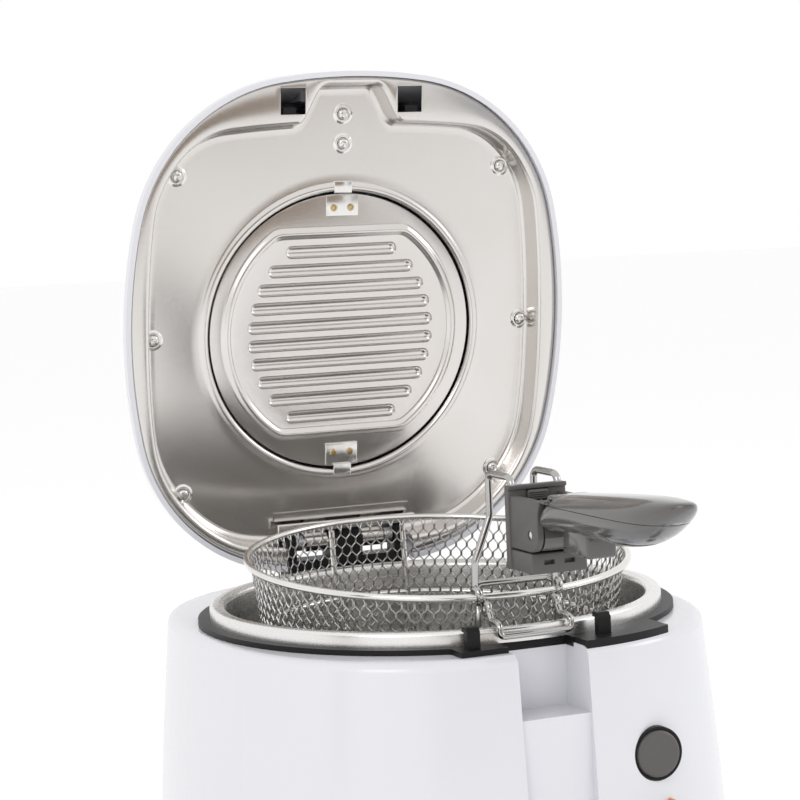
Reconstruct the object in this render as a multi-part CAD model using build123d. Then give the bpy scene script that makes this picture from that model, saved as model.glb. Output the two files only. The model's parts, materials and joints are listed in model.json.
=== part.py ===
from build123d import *
import math
import os

os.makedirs("parts", exist_ok=True)

# Deep fryer, millimetres. Origin: middle of the base, on the table. Front is -Y, up is +Z.
# The fryer stands with its lid open and its basket hung up to drain, handle out.

# Housing
BODY_HALF_WIDTH = 121.0        # at the top ledge
BODY_HALF_DEPTH = 136.5        # at the top ledge
BODY_FLARE = 7.5               # how much wider the housing is low down
SIDE_BOW = 280.0               # radius of the bowed sides and ends
CORNER_RADIUS = 102.0
LEDGE_Z = 181.0                # top ledge that the lid closes onto
HOUSING_FOOT_Z = 4.0
SHELL_WALL = 2.6
SHOULDER_FILLET = 5.0
FOOT_HEIGHT = 6.0
FOOT_RADIUS = 9.0
FOOT_X = 84.0
FOOT_Y = 92.0
BASE_PLATE_THICKNESS = 2.0

# Bowl and its black ring
BOWL_Y = -8.6                  # the bowl sits a little forward of the middle
BOWL_RIM_RADIUS = 109.4
BOWL_FLANGE = 7.7
BOWL_WALL = 1.2
BOWL_DEPTH = 131.0
BOWL_BOTTOM_FILLET = 22.0
RIM_Z = 190.0
RIM_SKIRT = 6.5
RING_OUTER_RADIUS = 115.1
RING_THICKNESS = 3.0
BOWL_HOLE_RADIUS = BOWL_RIM_RADIUS - BOWL_FLANGE + BOWL_WALL + 1.1
WING_LEFT = 17.6
WING_RIGHT = 66.0

# Front recess that takes the handle
RECESS_HALF_WIDTH = 17.0
POCKET_BACK_Y = -114.4
POCKET_FLOOR_Z = 152.2
CHANNEL_BACK_Y = -136.8
CHANNEL_FLOOR_Z = 22.0
RECESS_WALL = 2.2

# Heating, under the bowl
ELEMENT_RADIUS = 68.0
ELEMENT_TUBE_RADIUS = 3.5

# Lid, drawn closed and then swung open about the hinge pin
LID_HALF_WIDTH = 122.0
LID_HALF_LENGTH = 131.5
LID_Y = -4.5
LID_CORNER_RADIUS = 92.0
LID_RIM_Z = 188.4
LID_LIP = 5.0                  # upright part of the side, above which it slopes in
LID_TAPER = 0.5                # inwards for each millimetre up
LID_HEIGHT = 53.0
LID_WALL = 2.6
LID_TOP_FILLET = 16.0
LID_OPEN_ANGLE = 82.7
HINGE_Y = 113.44
HINGE_Z = 202.45
PLATE_FLANGE_Z = 190.4
PLATE_STEP = 13.0              # the middle of the lining is this much deeper than its flange
PLATE_THICKNESS = 0.9
STEP_HALF_WIDTH = 108.5
STEP_FRONT_Y = -109.0
STEP_REAR_Y = 113.0
STEP_CORNER_RADIUS = 46.0
STEP_EDGE_MARGIN = 9.0         # least width of the flange round the step
BUMP_FRONT_Y = -127.6
BUMP_FOOT_HALF_WIDTH = 28.0
FILTER_Y = 1.2
FILTER_OPENING_RADIUS = 74.0
FILTER_COVER_RADIUS = 71.5
FILTER_SLOTS = 10
FILTER_SLOT_PITCH = 10.0
FILTER_SLOT_HEIGHT = 4.2

# Latch
HOOK_X = 32.15
HOOK_Y = -121.0
HOOK_WIDTH = 6.2
HOOK_TOP_Z = 193.0
HOLE_SIZE = 13.5
RELEASE_HALF_WIDTH = 21.0
RELEASE_HALF_HEIGHT = 6.0

# Basket, hung up at a slight tilt
BASKET_RADIUS = 92.0
BASKET_Y = -13.5
BASKET_Z = 209.0
BASKET_TILT = 4.3
BASKET_DEPTH = 74.0
BASKET_TAPER = 13.0            # how much smaller the floor is than the rim
BASKET_FLOOR_RADIUS = BASKET_RADIUS - BASKET_TAPER
BASKET_WALL = 1.6
RIM_WIRE = 3.3
HANDLE_WIRE = 3.3
THIN_WIRE = 3.0
WIRE_BEND = 3.0
WIRE_FOOT_X = 19.8
WIRE_TOP_X = 11.2

# Handle
PLATE_BACK_Y = -122.4
PLATE_DEPTH = 3.8
PLATE_HALF_WIDTH = 14.2
PLATE_BOTTOM_Z = 215.0
BUMP_HALF_WIDTH = PLATE_HALF_WIDTH + 1.0   # the lining's bump takes the plate when the lid is down
PLATE_TOP_Z = 253.7
PIN_Y = -145.0
PIN_Z = 234.0
CHEEK_FRONT_Y = -152.0
CHEEK_LOW_Z = 227.0
CHEEK_HIGH_Z = 249.0
CHEEK_CORNER = 11.0
CHEEK_LOW_CORNER = 6.6
REST_BLOCK_FRONT_Y = PIN_Y - 1.0
REST_BLOCK_LOW_Z = 217.0
REST_BLOCK_HIGH_Z = PIN_Z - 8.0
CHEEK_OUTER = 13.4
CHEEK_INNER = 10.2
GRIP_PIN_RADIUS = 2.0
HUB_RADIUS = 7.2
GRIP_START_Y = CHEEK_FRONT_Y - 0.8
GRIP_TIP_Y = -258.6
GRIP_BOTTOM_Z = PIN_Z + 2.2
LEVER_FRONT_Y = -186.0
LEVER_BACK_Y = -163.0
LEVER_BOTTOM_Z = 227.6
GRIP_SPLIT_Z = 247.0

# Controls
BUTTON_X = 49.5
BUTTON_Z = 129.6
BUTTON_RADIUS = 10.6
BUTTON_BEZEL = 1.6
DIAL_X = 47.0
DIAL_Z = 80.0
INLET_X = 70.0
INLET_Z = 30.0
INLET_RADIUS = 8.0
INLET_BORE_RADIUS = 3.6
THERMOSTAT_WIDTH = 28.0
THERMOSTAT_DEPTH = 15.0
SHAFT_RADIUS = 3.0
SHAFT_LENGTH = 19.0
DIAL_RADIUS = 20.0
DIAL_DEPTH = 13.0
LAMP_Z = 106.0
LAMP_HOLDER_RADIUS = 3.6
LAMP_RADIUS = 2.4

FIT = 0.05                     # radial running clearance on pins and shafts
GAP = 0.4                      # clearance between pieces that move past each other
OVERSIZE = 400.0               # longer than the whole fryer, for cuts


def round_outline(half_width, half_length, corner, bow=SIDE_BOW, inset=0.0, y=0.0, z=0.0):
    """A rounded rectangle of eight tangent arcs, bowed outwards on all four sides."""
    a = half_width - inset
    b = half_length - inset
    big = bow - inset
    small = corner - inset
    side_centre = Vector(a - big, 0)
    end_centre = Vector(0, b - big)
    span = (end_centre - side_centre).length
    reach = big - small
    middle = (side_centre + end_centre) * 0.5
    along = (end_centre - side_centre).normalized()
    rise = math.sqrt(reach**2 - (span / 2) ** 2)
    first = middle + Vector(-along.Y, along.X) * rise
    second = middle - Vector(-along.Y, along.X) * rise
    corner_centre = max(first, second, key=lambda point: point.X + point.Y)
    low = math.atan2(corner_centre.Y - side_centre.Y, corner_centre.X - side_centre.X)
    high = math.atan2(corner_centre.Y - end_centre.Y, corner_centre.X - end_centre.X)
    arcs = []
    for mirror_x, mirror_y in ((1, 1), (-1, 1), (-1, -1), (1, -1)):
        for centre, radius, start, end in (
            (side_centre, big, 0.0, low),
            (corner_centre, small, low, high),
            (end_centre, big, high, math.pi / 2),
        ):
            points = []
            for angle in (start, (start + end) / 2, end):
                px = mirror_x * (centre.X + radius * math.cos(angle))
                py = mirror_y * (centre.Y + radius * math.sin(angle)) + y
                points.append((px, py, z))
            arcs.append(ThreePointArc(*points))
    return make_face(Wire(arcs))


def slab(face, height):
    return extrude(face, amount=height, dir=(0, 0, 1))


def block(x0, x1, y0, y1, z0, z1):
    box = Box(x1 - x0, y1 - y0, z1 - z0)
    return Pos((x0 + x1) / 2, (y0 + y1) / 2, (z0 + z1) / 2) * box


def mirror_block(x0, x1, y0, y1, z0, z1):
    return block(x0, x1, y0, y1, z0, z1) + block(-x1, -x0, y0, y1, z0, z1)


def disc(x, y, z0, z1, radius):
    return Pos(x, y, (z0 + z1) / 2) * Cylinder(radius, z1 - z0)


def tube(x, y, z0, z1, outer, inner):
    return disc(x, y, z0, z1, outer) - disc(x, y, z0 - 1, z1 + 1, inner)


def rod_x(x0, x1, y, z, radius):
    return Pos((x0 + x1) / 2, y, z) * Rot(0, 90, 0) * Cylinder(radius, x1 - x0)


def rod_y(x, y0, y1, z, radius):
    return Pos(x, (y0 + y1) / 2, z) * Rot(90, 0, 0) * Cylinder(radius, y1 - y0)


def bent_wire(points, diameter, bend):
    """A wire of round section along straight runs joined by arcs."""
    path = FilletPolyline(*points, radius=bend)
    start = Plane(origin=path @ 0, z_dir=path % 0)
    return sweep(start * Circle(diameter / 2), path=path)


def flare_at(z):
    """How far the housing stands outside its top outline at a height."""
    share = (LEDGE_Z - z) / (LEDGE_Z - 45.0)
    return BODY_FLARE * (1.0 - (1.0 - min(share, 1.0)) ** 2)


def body_section(z, inset):
    grow = flare_at(z) if z > 30.0 else BODY_FLARE - 3.5
    return round_outline(BODY_HALF_WIDTH + grow, BODY_HALF_DEPTH + grow, CORNER_RADIUS, inset=inset, z=z)


def body_solid(inset, bottom, top):
    heights = [bottom, 45.0, 110.0, top]
    return loft([body_section(z, inset) for z in heights])


def front_y(x, z):
    """The housing's front face at a place."""
    radius = SIDE_BOW
    half = BODY_HALF_DEPTH + flare_at(z)
    return -(half - radius + math.sqrt(radius**2 - x**2))


def make_housing():
    outer = body_solid(0.0, HOUSING_FOOT_Z, LEDGE_Z)
    outer = fillet(outer.edges().group_by(Axis.Z)[-1], SHOULDER_FILLET)
    inner = body_solid(SHELL_WALL, HOUSING_FOOT_Z - 0.001, LEDGE_Z - SHELL_WALL)
    shell = outer - inner
    w = RECESS_HALF_WIDTH + RECESS_WALL
    deep = block(-w, w, -OVERSIZE, POCKET_BACK_Y + RECESS_WALL, POCKET_FLOOR_Z - RECESS_WALL, LEDGE_Z)
    low = block(-w, w, -OVERSIZE, CHANNEL_BACK_Y + RECESS_WALL, CHANNEL_FLOOR_Z - RECESS_WALL, LEDGE_Z)
    shell += (deep + low) & outer
    w = RECESS_HALF_WIDTH
    shell -= block(-w, w, -OVERSIZE, POCKET_BACK_Y, POCKET_FLOOR_Z, OVERSIZE)
    shell -= block(-w, w, -OVERSIZE, CHANNEL_BACK_Y, CHANNEL_FLOOR_Z, OVERSIZE)
    # seat for the black ring, and the hole for the bowl
    seat_z = LEDGE_Z - RING_THICKNESS + 1.0
    shell += tube(0, BOWL_Y, seat_z - 2.0, LEDGE_Z - 0.6, RING_OUTER_RADIUS + 2.0, BOWL_HOLE_RADIUS) & outer
    shell -= disc(0, BOWL_Y, seat_z, OVERSIZE, RING_OUTER_RADIUS + 0.1)
    shell -= disc(0, BOWL_Y, seat_z - 20, OVERSIZE, BOWL_HOLE_RADIUS)
    shell -= wing_shape(0.1, seat_z, OVERSIZE)
    shell -= block(-w, w, -OVERSIZE, POCKET_BACK_Y, POCKET_FLOOR_Z, OVERSIZE)
    # holes for the controls
    shell -= rod_y(BUTTON_X, -OVERSIZE, -100, BUTTON_Z, BUTTON_RADIUS + BUTTON_BEZEL)
    shell -= rod_y(DIAL_X, -OVERSIZE, -100, DIAL_Z, 4.0)
    for x in lamp_places():
        shell -= rod_y(x, -OVERSIZE, -100, LAMP_Z, LAMP_RADIUS)
    shell -= rod_y(-INLET_X, 100, OVERSIZE, INLET_Z, INLET_RADIUS)
    return shell


def wing_shape(grow, z0, z1):
    wing = block(WING_LEFT - grow, WING_RIGHT + grow, -OVERSIZE, -95, z0, z1)
    outline = slab(body_section(LEDGE_Z, 1.6 - grow).moved(Location((0, 0, z0 - LEDGE_Z))), z1 - z0)
    return wing & outline


def make_ring():
    z0 = LEDGE_Z - RING_THICKNESS + 1.0
    z1 = RIM_Z - RIM_SKIRT
    ring = disc(0, BOWL_Y, z0, z1, RING_OUTER_RADIUS)
    ring += wing_shape(0.0, z0, z1)
    ring += block(-40, -RECESS_HALF_WIDTH - 0.4, -128, -115, LEDGE_Z, z1)
    ring -= disc(0, BOWL_Y, z0 - 1, z1 + 1, BOWL_RIM_RADIUS - BOWL_FLANGE + BOWL_WALL + 0.3)
    w = RECESS_HALF_WIDTH
    ring -= block(-w, w, -OVERSIZE, POCKET_BACK_Y, z0 - 1, z1 + 1)
    return ring


def lamp_places():
    return (DIAL_X - 9.0, DIAL_X + 9.0)


def make_bowl():
    inner_r = BOWL_RIM_RADIUS - BOWL_FLANGE
    floor_z = RIM_Z - BOWL_DEPTH
    outside = disc(0, 0, floor_z - BOWL_WALL, RIM_Z - 1, inner_r + BOWL_WALL)
    outside = fillet(outside.edges().group_by(Axis.Z)[0], BOWL_BOTTOM_FILLET)
    rim = disc(0, 0, RIM_Z - RIM_SKIRT, RIM_Z, BOWL_RIM_RADIUS)
    rim = fillet(rim.edges().group_by(Axis.Z)[-1], 1.6)
    under = disc(0, 0, RIM_Z - RIM_SKIRT - 1, RIM_Z - BOWL_WALL, BOWL_RIM_RADIUS - BOWL_WALL)
    under -= disc(0, 0, RIM_Z - RIM_SKIRT - 2, RIM_Z, inner_r + BOWL_WALL)
    inside = disc(0, 0, floor_z, RIM_Z + 10, inner_r)
    inside = fillet(inside.edges().group_by(Axis.Z)[0], BOWL_BOTTOM_FILLET - BOWL_WALL)
    bowl = outside + rim - under - inside
    lip = bowl.edges().filter_by(GeomType.CIRCLE).group_by(Axis.Z)[-1].sort_by(SortBy.RADIUS)[0]
    bowl = fillet(lip, 0.5)
    return Pos(0, BOWL_Y, 0) * bowl


def make_hooks():
    hooks = []
    for x in (-HOOK_X, HOOK_X):
        half = HOOK_WIDTH / 2
        foot = RIM_Z - RIM_SKIRT
        post = block(x - half, x + half, HOOK_Y - 3.0, HOOK_Y + 0.9, foot, HOOK_TOP_Z)
        nose = block(x - half, x + half, HOOK_Y + 0.9, HOOK_Y + 2.9, HOOK_TOP_Z - 2.2, HOOK_TOP_Z)
        hook = post + nose
        front_top = hook.edges().filter_by(Axis.X).group_by(Axis.Z)[-1].sort_by(Axis.Y)[0]
        hook = chamfer(front_top, 1.8)
        hooks.append(hook)
    return Compound(hooks)


def make_feet():
    feet = []
    for x in (-FOOT_X, FOOT_X):
        for y in (-FOOT_Y, FOOT_Y):
            foot = disc(x, y, 0, FOOT_HEIGHT, FOOT_RADIUS)
            feet.append(fillet(foot.edges().group_by(Axis.Z)[0], 1.5))
    return Compound(feet)


def make_base_plate():
    face = body_section(HOUSING_FOOT_Z, SHELL_WALL + 1.2)
    face = face.moved(Location((0, 0, FOOT_HEIGHT - HOUSING_FOOT_Z)))
    plate = slab(face, BASE_PLATE_THICKNESS)
    vent = 34.0
    for i in range(-3, 4):
        plate -= block(i * 9.0 - 2.0, i * 9.0 + 2.0, -vent, vent, 0, 20)
    return plate


def make_base_screws():
    screws = []
    for x, y in ((-108, 0), (108, 0), (-60, 112), (60, 112)):
        head = disc(x, y, FOOT_HEIGHT - 1.6, FOOT_HEIGHT, 3.4)
        screws.append(fillet(head.edges().group_by(Axis.Z)[0], 0.8))
    return Compound(screws)


def element_z():
    return RIM_Z - BOWL_DEPTH - BOWL_WALL - ELEMENT_TUBE_RADIUS - 0.1


def make_element():
    z = element_z()
    solids = [Pos(0, BOWL_Y, z) * Torus(ELEMENT_RADIUS, ELEMENT_TUBE_RADIUS)]
    for x in (-9.0, 9.0):
        start = BOWL_Y + ELEMENT_RADIUS + ELEMENT_TUBE_RADIUS
        solids.append(rod_y(x, start, start + 22.0, z, 3.0))
    return Compound(solids)


def make_element_clamp():
    z = element_z()
    under = z - ELEMENT_TUBE_RADIUS - 0.1
    clamp = tube(0, BOWL_Y, under - 1.5, under, ELEMENT_RADIUS + 10.0, 24.0)
    clamp += tube(0, BOWL_Y, under, z + ELEMENT_TUBE_RADIUS, ELEMENT_RADIUS - 8.0, ELEMENT_RADIUS - 12.0)
    return clamp


def make_heat_shield():
    return tube(0, BOWL_Y, 24, 146, 107.6, 106.8)


def make_switch_body():
    y = front_y(BUTTON_X, BUTTON_Z)
    return block(BUTTON_X - 9, BUTTON_X + 9, y + 12, y + 25.5, BUTTON_Z - 10, BUTTON_Z + 10)


def make_bezel():
    y = front_y(BUTTON_X, BUTTON_Z)
    r = BUTTON_RADIUS
    ring = rod_y(BUTTON_X, y - 0.4, y + 9, BUTTON_Z, r + BUTTON_BEZEL)
    return ring - rod_y(BUTTON_X, y - 2, y + 20, BUTTON_Z, r + 0.3)


def make_power_button():
    y = front_y(BUTTON_X, BUTTON_Z)
    cap = rod_y(BUTTON_X, y - 2.2, y + 6, BUTTON_Z, BUTTON_RADIUS)
    cap = fillet(cap.edges().group_by(Axis.Y)[0], 1.8)
    return cap + block(BUTTON_X - 3, BUTTON_X + 3, y + 6, y + 8.6, BUTTON_Z - 3, BUTTON_Z + 3)


def dial_back_y():
    return front_y(DIAL_X - DIAL_RADIUS, DIAL_Z) - 0.6


def make_dial():
    y = dial_back_y()
    skirt = rod_y(DIAL_X, y - 4.0, y, DIAL_Z, DIAL_RADIUS)
    skirt = fillet(skirt.edges().group_by(Axis.Y)[0], 1.5)
    bar = block(DIAL_X - 4.5, DIAL_X + 4.5, y - DIAL_DEPTH, y - 4.0, DIAL_Z - 18.5, DIAL_Z + 18.5)
    bar &= rod_y(DIAL_X, y - DIAL_DEPTH, y, DIAL_Z, 18.0)
    bar = fillet(bar.edges().filter_by(Axis.Z).group_by(Axis.Y)[0], 1.6)
    return skirt + bar


def make_dial_shaft():
    y = dial_back_y()
    return rod_y(DIAL_X, y, y + SHAFT_LENGTH, DIAL_Z, SHAFT_RADIUS)


def behind_wall(x, z, radius):
    """Where the space behind the sloping front begins, for a piece of that radius."""
    outer = max(front_y(x - radius, z), front_y(x + radius, z), front_y(x, z + radius))
    return outer + 1.5 * SHELL_WALL + 2.2


def make_thermostat():
    half = THERMOSTAT_WIDTH / 2
    y = behind_wall(DIAL_X, DIAL_Z, half)
    body = block(DIAL_X - half, DIAL_X + half, y, y + THERMOSTAT_DEPTH, DIAL_Z - 12, DIAL_Z + 12)
    return body - rod_y(DIAL_X, y - 1, dial_back_y() + SHAFT_LENGTH + 1, DIAL_Z, SHAFT_RADIUS + FIT)


def make_lamps():
    lenses = []
    for x in lamp_places():
        y = front_y(x, LAMP_Z)
        lens = rod_y(x, y - 1.0, behind_wall(x, LAMP_Z, LAMP_HOLDER_RADIUS), LAMP_Z, LAMP_RADIUS)
        lenses.append(fillet(lens.edges().group_by(Axis.Y)[0], 0.9))
    return Compound(lenses)


def make_lamp_holders():
    holders = []
    for x in lamp_places():
        y = behind_wall(x, LAMP_Z, LAMP_HOLDER_RADIUS)
        holders.append(rod_y(x, y, y + 12, LAMP_Z, LAMP_HOLDER_RADIUS))
    return Compound(holders)


def make_terminal_block():
    floor = FOOT_HEIGHT + BASE_PLATE_THICKNESS
    return block(-28, 28, 96, 112, floor, floor + 14)


def make_thermal_fuse():
    return rod_x(-20, 2, BOWL_Y - 30, element_z() - ELEMENT_TUBE_RADIUS - 1.6 - 3.1, 3.0)


def make_cord_inlet():
    y = -front_y(INLET_X, INLET_Z)
    gland = rod_y(-INLET_X, y - 8, y + 9, INLET_Z, INLET_RADIUS)
    gland += rod_y(-INLET_X, y + 1.5, y + 4, INLET_Z, INLET_RADIUS + 2.5)
    return gland - rod_y(-INLET_X, y - 20, y + 20, INLET_Z, INLET_BORE_RADIUS)


def make_hinge_base():
    y0 = BOWL_Y + RING_OUTER_RADIUS + 0.4
    y1 = HINGE_Y + 7.4
    base = block(-33, 33, y0, y1, LEDGE_Z, LEDGE_Z + 12.5)
    for x0, x1 in ((-33, -28), (-9.5, 9.5), (28, 33)):
        base += block(x0, x1, HINGE_Y - 5.4, HINGE_Y + 5.4, LEDGE_Z, HINGE_Z)
        base += rod_x(x0, x1, HINGE_Y, HINGE_Z, 5.4)
    return base - rod_x(-40, 40, HINGE_Y, HINGE_Z, 2.4)


def make_hinge_pin():
    return rod_x(-33, 33, HINGE_Y, HINGE_Z, 2.4)


def make_hinge_springs():
    coils = []
    for side in (-1, 1):
        turns = None
        for turn in range(4):
            x = side * (23.6 + turn * 1.2)
            ring = Pos(x, HINGE_Y, HINGE_Z) * Rot(0, 90, 0) * Torus(3.9, 0.62)
            turns = ring if turns is None else turns + ring
        coils.append(turns)
    return Compound(coils)


def open_lid(shape):
    return shape.rotate(Axis((0, HINGE_Y, HINGE_Z), (1, 0, 0)), -LID_OPEN_ANGLE)


def hinge_notch():
    return block(-36, 36, HINGE_Y - 12.0, OVERSIZE, LID_RIM_Z - 10, HINGE_Z + 8.9)


def lid_outline(inset, z):
    return round_outline(LID_HALF_WIDTH, LID_HALF_LENGTH, LID_CORNER_RADIUS, inset=inset, y=LID_Y, z=z)


def lid_inset(z):
    """How far the lid's side has sloped in at a height."""
    return LID_TAPER * max(0.0, z - LID_RIM_Z - LID_LIP)


def lid_front_y(z):
    return LID_Y - LID_HALF_LENGTH + lid_inset(z)


def lid_dome(inset, z, height, round_over):
    """The lid's solid outer or inner form: an upright lip, a sloping side and a rounded top."""
    bend = LID_RIM_Z + LID_LIP
    top = z + height
    dome = slab(lid_outline(inset, z), bend - z)
    dome += loft([lid_outline(inset, bend), lid_outline(inset + lid_inset(top), top)])
    return fillet(dome.edges().group_by(Axis.Z)[-1], round_over)


def make_lid_shell():
    outer = lid_dome(0.0, LID_RIM_Z, LID_HEIGHT, LID_TOP_FILLET)
    inner = lid_dome(LID_WALL, LID_RIM_Z - 1, LID_HEIGHT - LID_WALL + 1, LID_TOP_FILLET - LID_WALL)
    shell = outer - inner - hinge_notch()
    for i in range(-3, 4):
        slot = block(-24, 24, FILTER_Y + i * 8.0 - 1.5, FILTER_Y + i * 8.0 + 1.5, 220, 260)
        shell -= fillet(slot.edges().filter_by(Axis.Z), 1.4)
    z = release_z()
    shell -= block(
        -RELEASE_HALF_WIDTH - 0.3, RELEASE_HALF_WIDTH + 0.3, -OVERSIZE, -100,
        z - RELEASE_HALF_HEIGHT - 0.3, z + RELEASE_HALF_HEIGHT + 0.3,
    )
    return open_lid(shell)


def release_z():
    return LID_RIM_Z + 27.0


def step_face(inset, z):
    half_length = (STEP_REAR_Y - STEP_FRONT_Y) / 2
    middle = (STEP_REAR_Y + STEP_FRONT_Y) / 2
    face = round_outline(
        STEP_HALF_WIDTH, half_length, STEP_CORNER_RADIUS, bow=700.0, inset=inset, y=middle, z=0
    )
    top = BUMP_HALF_WIDTH - inset
    foot = BUMP_FOOT_HALF_WIDTH - inset
    front = BUMP_FRONT_Y + inset
    root = STEP_FRONT_Y + 6.0
    drop = 5.0
    points = ((-foot - drop, root), (-top, front), (top, front), (foot + drop, root))
    bump = make_face(Polyline(*points, close=True))
    face = (face & lid_outline(STEP_EDGE_MARGIN + inset, 0)) + bump
    tips = face.vertices().filter_by(lambda v: abs(v.X) < top + 1 and v.Y < front + 1)
    face = fillet(tips, 5.0 - inset)
    roots = face.vertices().filter_by(lambda v: top + 4 < abs(v.X) < foot + 8 and v.Y < STEP_FRONT_Y + 8)
    face = fillet(roots, 6.0 + inset)
    return face.moved(Location((0, 0, z)))


def make_lid_plate():
    z = PLATE_FLANGE_Z
    t = PLATE_THICKNESS
    flange = slab(lid_outline(LID_WALL + 0.2, z), t)
    wall = slab(step_face(0.0, z), PLATE_STEP + t)
    void = slab(step_face(t, z - 1), PLATE_STEP + 1)
    plate = flange + wall - void
    for x in (-HOOK_X, HOOK_X):
        half = HOLE_SIZE / 2
        hole = block(x - half, x + half, HOOK_Y - half, HOOK_Y + half, z - 5, z + 5)
        plate -= fillet(hole.edges().filter_by(Axis.Z), 1.0)
    deep = z + PLATE_STEP
    plate += tube(0, FILTER_Y, deep, deep + 16, FILTER_OPENING_RADIUS + t, FILTER_OPENING_RADIUS)
    plate -= disc(0, FILTER_Y, z - 5, deep + 16, FILTER_OPENING_RADIUS)
    plate -= hinge_notch()
    return open_lid(plate)


def lid_screw_places():
    return (
        (-90.3, -83.5), (90.3, -83.5), (-103.6, 0.0), (103.6, 0.0),
        (-88.5, 81.8), (88.5, 81.8), (0.0, -97.8), (0.0, -113.1),
    )


def make_lid_screws():
    screws = []
    for x, y in lid_screw_places():
        z = PLATE_FLANGE_Z + PLATE_STEP
        head = disc(x, y, z - 1.8, z, 2.7)
        screws.append(open_lid(fillet(head.edges().group_by(Axis.Z)[0], 0.8)))
    return Compound(screws)


def slot_half_length(y):
    return math.sqrt(57.0**2 - y**2) - 3.0


def make_filter_cover():
    z = PLATE_FLANGE_Z + PLATE_STEP + 1.0
    cover = disc(0, FILTER_Y, z, z + 1.0, FILTER_COVER_RADIUS)
    first = -(FILTER_SLOTS - 1) / 2 * FILTER_SLOT_PITCH
    for i in range(FILTER_SLOTS):
        y = first + i * FILTER_SLOT_PITCH
        half = slot_half_length(y)
        low = FILTER_Y + y - FILTER_SLOT_HEIGHT / 4
        slot = block(-half, half, low, low + FILTER_SLOT_HEIGHT / 2, z - 5, z + 5)
        cover -= slot
    return open_lid(cover)


def make_filter_pad():
    z = PLATE_FLANGE_Z + PLATE_STEP + 2.4
    return open_lid(disc(0, FILTER_Y, z, z + 9, FILTER_COVER_RADIUS - 1.0))


def make_filter_tabs():
    z = PLATE_FLANGE_Z + PLATE_STEP + 1.0
    tabs = []
    for y0, y1 in ((FILTER_Y - 72.0, FILTER_Y - 61.0), (FILTER_Y + 60.0, FILTER_Y + 72.0)):
        tabs.append(open_lid(block(-9, 9, y0, y1, z - 0.9, z)))
    return Compound(tabs)


def make_filter_rivets():
    z = PLATE_FLANGE_Z + PLATE_STEP + 0.1
    rivets = []
    for x in (-4.7, 4.7):
        for y in (FILTER_Y - 65.5, FILTER_Y + 65.0):
            rivets.append(open_lid(disc(x, y, z - 0.7, z, 1.7)))
    return Compound(rivets)


def make_hinge_leaf():
    z = PLATE_FLANGE_Z + PLATE_STEP
    leaf = block(-38.5, 38.5, 96.5, HINGE_Y - 12.5, z - 1.2, z)
    for x0 in (-22.0, 10.0):
        leaf += block(x0, x0 + 12.0, HINGE_Y - 12.8, HINGE_Y, z - 1.2, z)
        leaf += block(x0, x0 + 12.0, HINGE_Y - 11.6, HINGE_Y, z - 1.2, z + 3.2)
        leaf += rod_x(x0, x0 + 12.0, HINGE_Y, HINGE_Z, 5.2)
    leaf -= rod_x(-40, 40, HINGE_Y, HINGE_Z, 2.4 + FIT)
    return open_lid(leaf)


def make_latch_slider():
    y0 = HOOK_Y + 3.3
    y1 = y0 + 3.4
    bar_z = PLATE_FLANGE_Z + PLATE_STEP + 4.0
    slider = block(-HOOK_X - 5, HOOK_X + 5, y0, y1, bar_z, bar_z + 5)
    slider += mirror_block(HOOK_X - 2, HOOK_X + 5, y0, y1, PLATE_FLANGE_Z + PLATE_THICKNESS + GAP, bar_z)
    return open_lid(slider)


def make_release_button():
    """A long key that follows the sloping front of the lid, with a stem that pushes the slider."""
    z = release_z()
    half = RELEASE_HALF_WIDTH
    low = z - RELEASE_HALF_HEIGHT
    high = z + RELEASE_HALF_HEIGHT
    proud = 1.8
    back_y = lid_front_y(high) + LID_WALL
    profile = Polyline(
        (0, lid_front_y(low) - proud, low), (0, lid_front_y(high) - proud, high),
        (0, back_y, high), (0, back_y, low), close=True,
    )
    button = Pos(-half, 0, 0) * extrude(make_face(profile), amount=2 * half, dir=(1, 0, 0))
    button = fillet(button.edges().group_by(Axis.Y)[0], 1.2)
    bar_z = PLATE_FLANGE_Z + PLATE_STEP + 4.0
    button += block(-5, 5, back_y - 1.0, HOOK_Y + 3.3 - GAP, bar_z, z + 3)
    return open_lid(button)


def tilt_basket(shape):
    return Pos(0, BASKET_Y, BASKET_Z) * Rot(BASKET_TILT, 0, 0) * shape


def make_basket_rim():
    rim = Torus(BASKET_RADIUS, RIM_WIRE / 2)
    lower = Pos(0, 0, -BASKET_DEPTH * 0.52) * Torus(basket_radius(0.52) + 1.6, THIN_WIRE / 2)
    return tilt_basket(Compound([rim, lower]))


def basket_radius(share):
    return BASKET_RADIUS + (BASKET_FLOOR_RADIUS - BASKET_RADIUS) * share


def make_basket_mesh():
    top = -RIM_WIRE / 2
    h = BASKET_DEPTH + top
    outer = Pos(0, 0, top - h / 2) * Cone(BASKET_FLOOR_RADIUS, BASKET_RADIUS - 0.4, h)
    outer = fillet(outer.edges().group_by(Axis.Z)[0], 8.0)
    w = BASKET_WALL
    inner = Pos(0, 0, top - h / 2 + w) * Cone(BASKET_FLOOR_RADIUS - w, BASKET_RADIUS - 0.4 - w, h)
    inner = fillet(inner.edges().group_by(Axis.Z)[0], 8.0 - w)
    return tilt_basket(outer - inner)


def make_basket_wires():
    """Two wires run down the front, under the floor and up the back; two more cross them."""
    r = THIN_WIRE / 2
    wires = []
    for x in (-WIRE_FOOT_X, WIRE_FOOT_X):
        top_y = math.sqrt(BASKET_RADIUS**2 - x**2) + 0.5
        low_y = math.sqrt(BASKET_FLOOR_RADIUS**2 - x**2) + r + 0.4
        z = -BASKET_DEPTH - r - 0.2
        points = ((x, -top_y, -3.4), (x, -low_y, z), (x, low_y, z), (x, top_y, -3.4))
        wires.append(tilt_basket(bent_wire(points, THIN_WIRE, 9.0)))
    return Compound(wires)


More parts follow.
